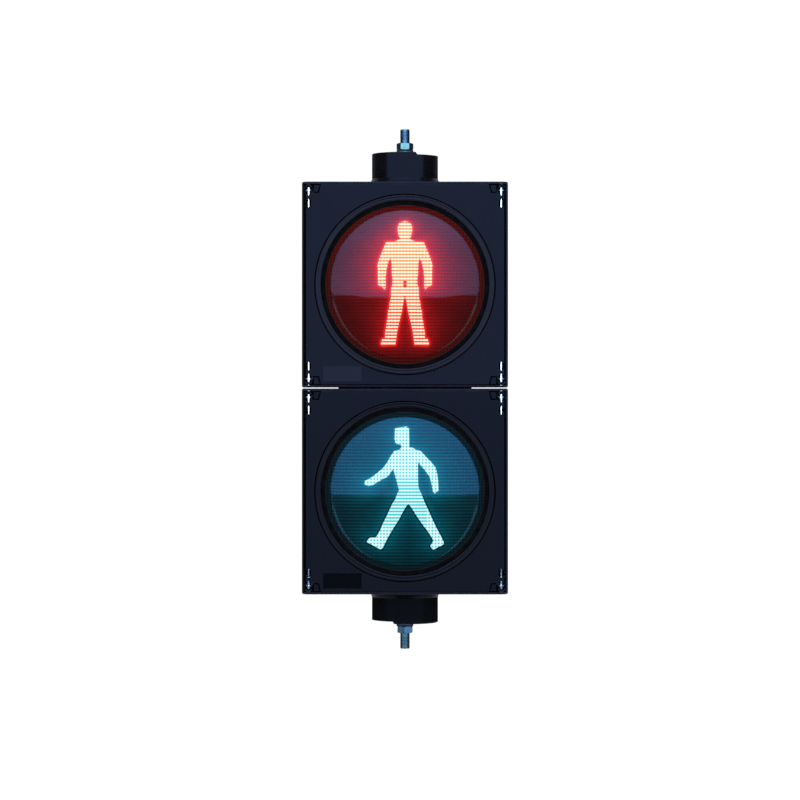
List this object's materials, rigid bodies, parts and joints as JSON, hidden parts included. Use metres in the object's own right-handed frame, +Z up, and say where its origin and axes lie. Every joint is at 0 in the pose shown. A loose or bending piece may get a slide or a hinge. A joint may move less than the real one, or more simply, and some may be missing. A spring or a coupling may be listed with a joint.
{
  "type": "pedestrian traffic light",
  "caption": "Signal head with stacked square sections, round domed lenses behind walking and standing figures, hinged doors on spring pins, and round collars on a threaded rod.",
  "frame": {"origin": "On the tie rod's axis at the outer face of the lower nut, where the free end of the lower stud begins.", "axes": "+Z up along the tie rod, front and lenses face -Y, +X is the viewer's right when looking at the lenses."},
  "size_m": [0.25, 0.1545, 0.6405],
  "materials": {
    "zinc_steel": "bright zinc plated steel",
    "black_plastic": "semi-matt black moulded polycarbonate, fine texture",
    "rubber": "black EPDM",
    "white_plastic": "natural nylon",
    "wires": "PVC insulated wires",
    "black_gloss": "smooth black plastic",
    "green_lens": "tinted polycarbonate with fine lens pattern",
    "mask": "black printed film",
    "clear_lens": "clear stepped lens",
    "grey_plastic": "moulded grey plastic",
    "circuit_board": "solder-masked laminate",
    "green_led": "LED",
    "spring_steel": "drawn spring wire",
    "label": "black plastic plate",
    "cable": "black PVC sheath",
    "red_lens": "tinted polycarbonate with fine lens pattern",
    "red_led": "LED"
  },
  "bodies": {
    "mount": {"tie_rod": "zinc_steel", "lower_collar": "black_plastic", "upper_collar": "black_plastic", "flat_washers": "zinc_steel", "spring_washers": "zinc_steel", "stud_nuts": "zinc_steel", "collar_gaskets": "rubber"},
    "head": {"lower_housing": "black_plastic", "upper_housing": "black_plastic", "lower_door_seal": "rubber", "upper_door_seal": "rubber", "coupling_gasket": "rubber", "coupling_bolts": "zinc_steel", "coupling_nuts": "zinc_steel", "spacer_tubes": "zinc_steel", "terminal_blocks": "white_plastic", "terminal_screws": "zinc_steel", "wiring_loom": "wires", "loom_clip": "white_plastic"},
    "lower_leaf": {"lower_door": "black_plastic", "lower_bezel": "black_gloss", "lower_lens_gasket": "rubber", "lower_lens": "green_lens", "lower_mask": "mask", "lower_fresnel_lens": "clear_lens", "lower_module_casing": "grey_plastic", "lower_led_board": "circuit_board", "lower_leds": "green_led", "lower_board_screws": "zinc_steel", "lower_driver_board": "circuit_board", "lower_module_clips": "spring_steel", "lower_clip_screws": "zinc_steel", "lower_label_plate": "label", "lower_pin_springs": "spring_steel", "lower_door_cable": "cable"},
    "upper_leaf": {"upper_door": "black_plastic", "upper_bezel": "black_gloss", "upper_lens_gasket": "rubber", "upper_lens": "red_lens", "upper_mask": "mask", "upper_fresnel_lens": "clear_lens", "upper_module_casing": "grey_plastic", "upper_led_board": "circuit_board", "upper_leds": "red_led", "upper_board_screws": "zinc_steel", "upper_driver_board": "circuit_board", "upper_module_clips": "spring_steel", "upper_clip_screws": "zinc_steel", "upper_label_plate": "label", "upper_pin_springs": "spring_steel", "upper_door_cable": "cable"},
    "lower_pin_tl_body": {"lower_pin_tl": "zinc_steel"},
    "lower_pin_bl_body": {"lower_pin_bl": "zinc_steel"},
    "lower_pin_tr_body": {"lower_pin_tr": "zinc_steel"},
    "lower_pin_br_body": {"lower_pin_br": "zinc_steel"},
    "upper_pin_tl_body": {"upper_pin_tl": "zinc_steel"},
    "upper_pin_bl_body": {"upper_pin_bl": "zinc_steel"},
    "upper_pin_tr_body": {"upper_pin_tr": "zinc_steel"},
    "upper_pin_br_body": {"upper_pin_br": "zinc_steel"}
  },
  "joints": [
    {"name": "head_swivel", "type": "hinge", "parent": "mount", "child": "head", "pos_m": [0, 0, 0.0522], "axis": [0, 0, 1], "range_deg": [-90, 90]},
    {"name": "lower_door_hinge", "type": "hinge", "parent": "head", "child": "lower_leaf", "pos_m": [-0.1168, -0.0653, 0.1769], "axis": [0, 0, -1], "range_deg": [0, 110], "deforming": ["lower_door_cable", "lower_pin_tr", "lower_pin_br"]},
    {"name": "upper_door_hinge", "type": "hinge", "parent": "head", "child": "upper_leaf", "pos_m": [-0.1168, -0.0653, 0.4275], "axis": [0, 0, -1], "range_deg": [0, 110], "deforming": ["upper_door_cable", "upper_pin_tr", "upper_pin_br"]},
    {"name": "lower_pin_tl_slide", "type": "slide", "parent": "lower_leaf", "child": "lower_pin_tl_body", "axis": [0, 0, -1], "range_m": [0, 0.004], "deforming": ["lower_pin_springs"]},
    {"name": "lower_pin_bl_slide", "type": "slide", "parent": "lower_leaf", "child": "lower_pin_bl_body", "axis": [0, 0, 1], "range_m": [0, 0.004], "deforming": ["lower_pin_springs"]},
    {"name": "lower_pin_tr_slide", "type": "slide", "parent": "lower_leaf", "child": "lower_pin_tr_body", "axis": [0, 0, -1], "range_m": [0, 0.004], "deforming": ["lower_pin_springs"]},
    {"name": "lower_pin_br_slide", "type": "slide", "parent": "lower_leaf", "child": "lower_pin_br_body", "axis": [0, 0, 1], "range_m": [0, 0.004], "deforming": ["lower_pin_springs"]},
    {"name": "upper_pin_tl_slide", "type": "slide", "parent": "upper_leaf", "child": "upper_pin_tl_body", "axis": [0, 0, -1], "range_m": [0, 0.004], "deforming": ["upper_pin_springs"]},
    {"name": "upper_pin_bl_slide", "type": "slide", "parent": "upper_leaf", "child": "upper_pin_bl_body", "axis": [0, 0, 1], "range_m": [0, 0.004], "deforming": ["upper_pin_springs"]},
    {"name": "upper_pin_tr_slide", "type": "slide", "parent": "upper_leaf", "child": "upper_pin_tr_body", "axis": [0, 0, -1], "range_m": [0, 0.004], "deforming": ["upper_pin_springs"]},
    {"name": "upper_pin_br_slide", "type": "slide", "parent": "upper_leaf", "child": "upper_pin_br_body", "axis": [0, 0, 1], "range_m": [0, 0.004], "deforming": ["upper_pin_springs"]}
  ]
}
